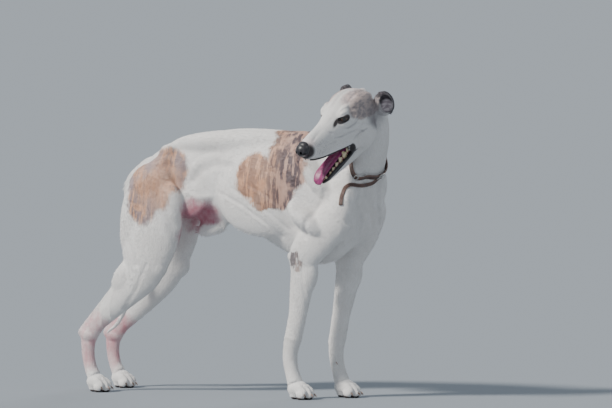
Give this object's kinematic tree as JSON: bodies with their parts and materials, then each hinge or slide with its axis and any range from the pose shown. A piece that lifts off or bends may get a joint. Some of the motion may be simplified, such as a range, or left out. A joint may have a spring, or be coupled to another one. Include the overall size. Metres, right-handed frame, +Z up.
{
  "type": "greyhound model",
  "caption": "Life-size standing greyhound looking back over its right side, mouth open, in a loose leather collar.",
  "frame": {"origin": "middle of the bounding box, on the floor under the feet", "axes": "+X towards the dog's front along its back, +Y to the dog's left, +Z up"},
  "size_m": [1.0158, 0.4015, 0.8409],
  "materials": {
    "coat": "short smooth white coat with tan and grey brindle patches, over the body",
    "ear": "very short dark grey coat",
    "nose": "moist black nose skin",
    "tongue": "moist pink tongue",
    "eye": "polished dark brown eye",
    "collar": "worn dark brown strap leather",
    "metal": "dull steel fittings"
  },
  "bodies": {
    "root": {"chest": "coat", "loin": "coat", "neck": "coat", "head": "coat", "jaw": "coat", "tongue": "tongue", "nose": "nose", "ear_left": "ear", "ear_right": "ear", "eye_left": "eye", "eye_right": "eye", "foreleg_left": "coat", "foreleg_right": "coat", "forepaw_left": "coat", "forepaw_right": "coat", "thigh_left": "coat", "thigh_right": "coat", "shank_left": "coat", "shank_right": "coat", "hindpaw_left": "coat", "hindpaw_right": "coat", "tail_upper": "coat", "tail_lower": "coat", "collar": "collar", "collar_strap": "collar", "collar_buckle": "metal", "collar_ring": "metal"}
  },
  "joints": []
}
